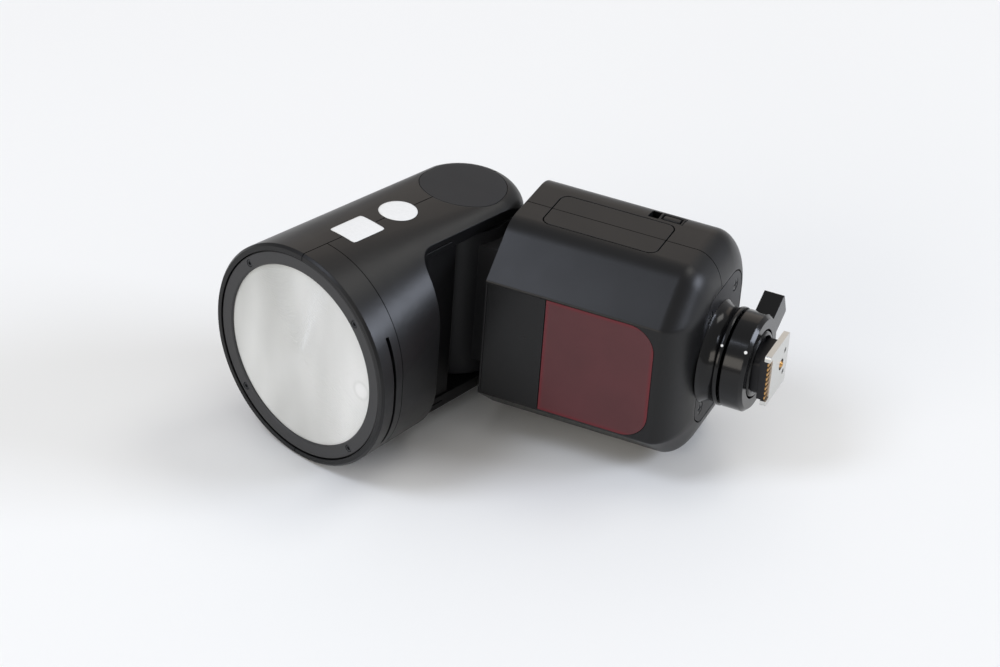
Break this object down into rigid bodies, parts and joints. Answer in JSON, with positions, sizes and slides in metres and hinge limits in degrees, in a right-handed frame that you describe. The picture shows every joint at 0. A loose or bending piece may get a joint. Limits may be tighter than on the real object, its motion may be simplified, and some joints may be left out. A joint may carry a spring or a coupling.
{
  "type": "round head camera flash",
  "caption": "Battery camera flash with a round lens in a tilting and swivelling head, slanted body with red window, control dial, sockets and a locking hot shoe foot",
  "frame": {"origin": "middle of the shoe plate's sole", "axes": "+X out of the sole, -Y towards the flash's front, +Z out of the battery side, which is up as the object lies"},
  "size_m": [0.1727, 0.1097, 0.076],
  "materials": {
    "housing": "satin black moulded housing",
    "cap_rubber": "fine matt dark grey",
    "panel_plastic": "smooth satin black",
    "key_rubber": "matt black",
    "window_red": "translucent deep red",
    "lens_plastic": "frosted clear with fine rings",
    "clear_glass": "clear",
    "lamp_white": "white lamp",
    "reflector_metal": "bright bowl",
    "steel": "machined",
    "bush_plastic": "black nylon",
    "circuit_board": "green laminate and dark parts",
    "display_dark": "dark display",
    "capacitor_sleeve": "black sleeve",
    "cell_sleeve": "coloured sleeve",
    "contact_gold": "gold plated",
    "socket_metal": "plated",
    "ring_gloss": "polished black",
    "foot_plastic": "satin black",
    "shoe_metal": "satin plate"
  },
  "bodies": {
    "body": {"front_shell": "housing", "rear_shell": "housing", "front_panel": "panel_plastic", "red_window": "window_red", "front_board": "circuit_board", "focus_lamps": "lamp_white", "battery_chamber": "bush_plastic", "battery_contacts": "contact_gold", "main_board": "circuit_board", "capacitor": "capacitor_sleeve", "display_glass": "clear_glass", "display_module": "display_dark", "dial_encoder": "circuit_board", "key_switches": "circuit_board", "usb_socket": "socket_metal", "sync_socket": "socket_metal", "base_plate": "foot_plastic", "base_screws": "steel", "base_collar": "ring_gloss", "foot_block": "foot_plastic", "shoe_plate": "shoe_metal", "signal_contacts": "contact_gold", "swivel_bush": "bush_plastic"},
    "neck": {"neck_front_shell": "housing", "neck_rear_shell": "housing", "tilt_pivots": "steel", "detent_disc": "steel", "swivel_tube": "steel", "swivel_retainer": "steel"},
    "head": {"head_top_shell": "housing", "head_bottom_shell": "housing", "front_bezel": "housing", "bezel_screws": "steel", "fresnel_lens": "lens_plastic", "reflector": "reflector_metal", "flash_tube": "clear_glass", "modelling_lamp": "lamp_white", "accessory_magnets": "steel", "battery_side_cap": "cap_rubber", "socket_side_cap": "cap_rubber", "tilt_bushes": "bush_plastic", "detent_ball": "steel"},
    "dial": {"control_dial": "panel_plastic"},
    "set_key": {"set_button": "panel_plastic"},
    "function_key_1": {"function_button_1": "key_rubber"},
    "function_key_2": {"function_button_2": "key_rubber"},
    "function_key_3": {"function_button_3": "key_rubber"},
    "function_key_4": {"function_button_4": "key_rubber"},
    "mode_key": {"mode_button": "key_rubber"},
    "wireless_key": {"wireless_button": "key_rubber"},
    "test_key": {"test_button": "key_rubber"},
    "switch": {"power_switch": "panel_plastic"},
    "battery": {"battery_case": "housing", "battery_cells": "cell_sleeve"},
    "latch": {"battery_latch": "housing"},
    "cover": {"port_cover": "cap_rubber"},
    "ring": {"lock_ring": "ring_gloss"},
    "pins": {"lock_pins": "steel"},
    "hot_contact": {"centre_contact": "contact_gold"}
  },
  "joints": [
    {"name": "head_swivel", "type": "hinge", "parent": "body", "child": "neck", "pos_m": [-0.0905, 0, 0], "axis": [1, 0, 0], "range_deg": [-165, 165]},
    {"name": "head_tilt", "type": "hinge", "parent": "neck", "child": "head", "pos_m": [-0.113, 0, 0], "axis": [0, 0, -1], "range_deg": [-26, 101]},
    {"name": "dial_spin", "type": "hinge", "parent": "body", "child": "dial", "pos_m": [-0.041, 0.0265, 0], "axis": [0, 1, 0], "continuous": true},
    {"name": "set_press", "type": "slide", "parent": "body", "child": "set_key", "axis": [0, -1, 0], "range_m": [0, 0.0006], "stiffness_N_per_m": 900, "springref_m": -0.0006},
    {"name": "function_press_1", "type": "slide", "parent": "body", "child": "function_key_1", "axis": [0, -1, 0], "range_m": [0, 0.0006], "stiffness_N_per_m": 900, "springref_m": -0.0006},
    {"name": "function_press_2", "type": "slide", "parent": "body", "child": "function_key_2", "axis": [0, -1, 0], "range_m": [0, 0.0006], "stiffness_N_per_m": 900, "springref_m": -0.0006},
    {"name": "function_press_3", "type": "slide", "parent": "body", "child": "function_key_3", "axis": [0, -1, 0], "range_m": [0, 0.0006], "stiffness_N_per_m": 900, "springref_m": -0.0006},
    {"name": "function_press_4", "type": "slide", "parent": "body", "child": "function_key_4", "axis": [0, -1, 0], "range_m": [0, 0.0006], "stiffness_N_per_m": 900, "springref_m": -0.0006},
    {"name": "mode_press", "type": "slide", "parent": "body", "child": "mode_key", "axis": [0, -1, 0], "range_m": [0, 0.0006], "stiffness_N_per_m": 900, "springref_m": -0.0006},
    {"name": "wireless_press", "type": "slide", "parent": "body", "child": "wireless_key", "axis": [0, -1, 0], "range_m": [0, 0.0006], "stiffness_N_per_m": 900, "springref_m": -0.0006},
    {"name": "test_press", "type": "slide", "parent": "body", "child": "test_key", "axis": [0, -1, 0], "range_m": [0, 0.0006], "stiffness_N_per_m": 900, "springref_m": -0.0006},
    {"name": "power_slide", "type": "slide", "parent": "body", "child": "switch", "axis": [1, 0, 0], "range_m": [0, 0.004]},
    {"name": "battery_slide", "type": "slide", "parent": "body", "child": "battery", "axis": [0, 0, 1], "range_m": [0, 0.06]},
    {"name": "latch_slide", "type": "slide", "parent": "body", "child": "latch", "axis": [-1, 0, 0], "range_m": [0, 0.003], "stiffness_N_per_m": 300, "springref_m": -0.002},
    {"name": "cover_swing", "type": "hinge", "parent": "body", "child": "cover", "pos_m": [-0.0805, 0.0144, -0.0354], "axis": [0, 1, 0], "range_deg": [0, 110]},
    {"name": "ring_turn", "type": "hinge", "parent": "body", "child": "ring", "pos_m": [-0.01, 0, 0], "axis": [1, 0, 0], "range_deg": [0, 60]},
    {"name": "pin_drop", "type": "slide", "parent": "body", "child": "pins", "axis": [1, 0, 0], "range_m": [0, 0.0018]},
    {"name": "contact_press", "type": "slide", "parent": "body", "child": "hot_contact", "axis": [-1, 0, 0], "range_m": [0, 0.0005], "stiffness_N_per_m": 1500, "springref_m": -0.0005}
  ],
  "couplings": [
    {"joint": "pin_drop", "follows": "ring_turn", "m_per_rad": 0.001719}
  ]
}
